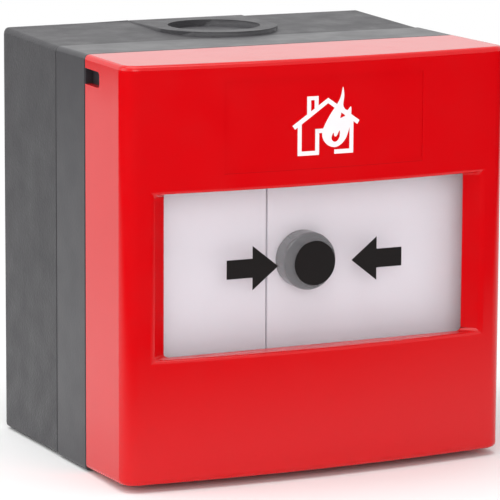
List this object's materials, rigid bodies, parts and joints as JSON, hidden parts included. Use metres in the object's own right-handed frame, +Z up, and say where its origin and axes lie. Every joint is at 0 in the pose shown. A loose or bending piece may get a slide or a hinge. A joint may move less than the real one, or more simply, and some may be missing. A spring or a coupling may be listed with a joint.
{
  "type": "manual call point",
  "caption": "Surface-mounted red call point with a clear push pane in a bevelled window; the pane swings a hinged plate on to a microswitch, and the cover opens on top tongues.",
  "frame": {"origin": "centre of the wall face of the back box", "axes": "+Y out of the rear into the wall, +Z up, +X to the right of someone who looks at the front"},
  "size_m": [0.088, 0.07, 0.0889],
  "materials": {
    "black_textured": "fine spark texture",
    "black_satin": "satin moulding",
    "red_gloss": "gloss moulding",
    "clear_pane": "clear, polished",
    "white_plastic": "gloss moulding",
    "grey_plastic": "satin moulding",
    "steel": "zinc plated",
    "board": "solder mask on glass fibre",
    "green_plastic": "satin moulding",
    "resistor_lacquer": "lacquer"
  },
  "bodies": {
    "base": {"back_box": "black_textured", "chassis": "black_satin", "element_frame": "white_plastic", "hinge_pin": "steel", "pane_spring_1": "steel", "pane_spring_2": "steel", "pane_spring_3": "steel", "pane_spring_4": "steel", "return_spring": "steel", "switch_body": "black_satin", "switch_terminal_1": "steel", "switch_terminal_2": "steel", "switch_terminal_3": "steel", "circuit_board": "board", "terminal_block": "green_plastic", "terminal_screw_1": "steel", "terminal_screw_2": "steel", "terminal_screw_3": "steel", "terminal_screw_4": "steel", "terminal_screw_5": "steel", "terminal_screw_6": "steel", "resistor_1": "resistor_lacquer", "resistor_2": "resistor_lacquer", "chassis_screw_1": "steel", "chassis_screw_2": "steel", "frame_screw_1": "steel", "frame_screw_2": "steel", "frame_screw_3": "steel", "frame_screw_4": "steel", "board_screw_1": "steel", "board_screw_2": "steel", "board_screw_3": "steel", "board_screw_4": "steel"},
    "cover": {"front_cover": "red_gloss"},
    "element": {"element_pane": "clear_pane"},
    "actuator": {"actuator_plate": "white_plastic", "plunger": "grey_plastic"},
    "lever": {"switch_lever": "steel"},
    "button": {"switch_button": "red_gloss"},
    "slider": {"reset_slider": "grey_plastic"}
  },
  "joints": [
    {"name": "element_press", "type": "slide", "parent": "base", "child": "element", "axis": [0, 1, 0], "range_m": [0, 0.0024], "stiffness_N_per_m": 500, "springref_m": -0.004, "deforming": ["pane_spring_1", "pane_spring_2", "pane_spring_3", "pane_spring_4", "return_spring"]},
    {"name": "actuator_swing", "type": "hinge", "parent": "base", "child": "actuator", "pos_m": [0.0384, -0.0554, 0.0005], "axis": [0, 0, -1], "range_deg": [0, 4]},
    {"name": "lever_swing", "type": "hinge", "parent": "base", "child": "lever", "pos_m": [0, -0.0515, -0.0115], "axis": [-1, 0, 0], "range_deg": [0, 12]},
    {"name": "button_travel", "type": "slide", "parent": "base", "child": "button", "axis": [0, 1, 0], "range_m": [0, 0.00065]},
    {"name": "reset_lift", "type": "slide", "parent": "base", "child": "slider", "axis": [0, 0, 1], "range_m": [0, 0.004]},
    {"name": "cover_swing", "type": "hinge", "parent": "base", "child": "cover", "pos_m": [0, -0.0455, 0.044], "axis": [-1, 0, 0], "range_deg": [0, 40]}
  ],
  "couplings": [
    {"joint": "actuator_swing", "follows": "element_press", "rad_per_m": 29.08},
    {"joint": "lever_swing", "follows": "element_press", "rad_per_m": 87.26},
    {"joint": "button_travel", "follows": "element_press", "ratio": 0.2708}
  ]
}
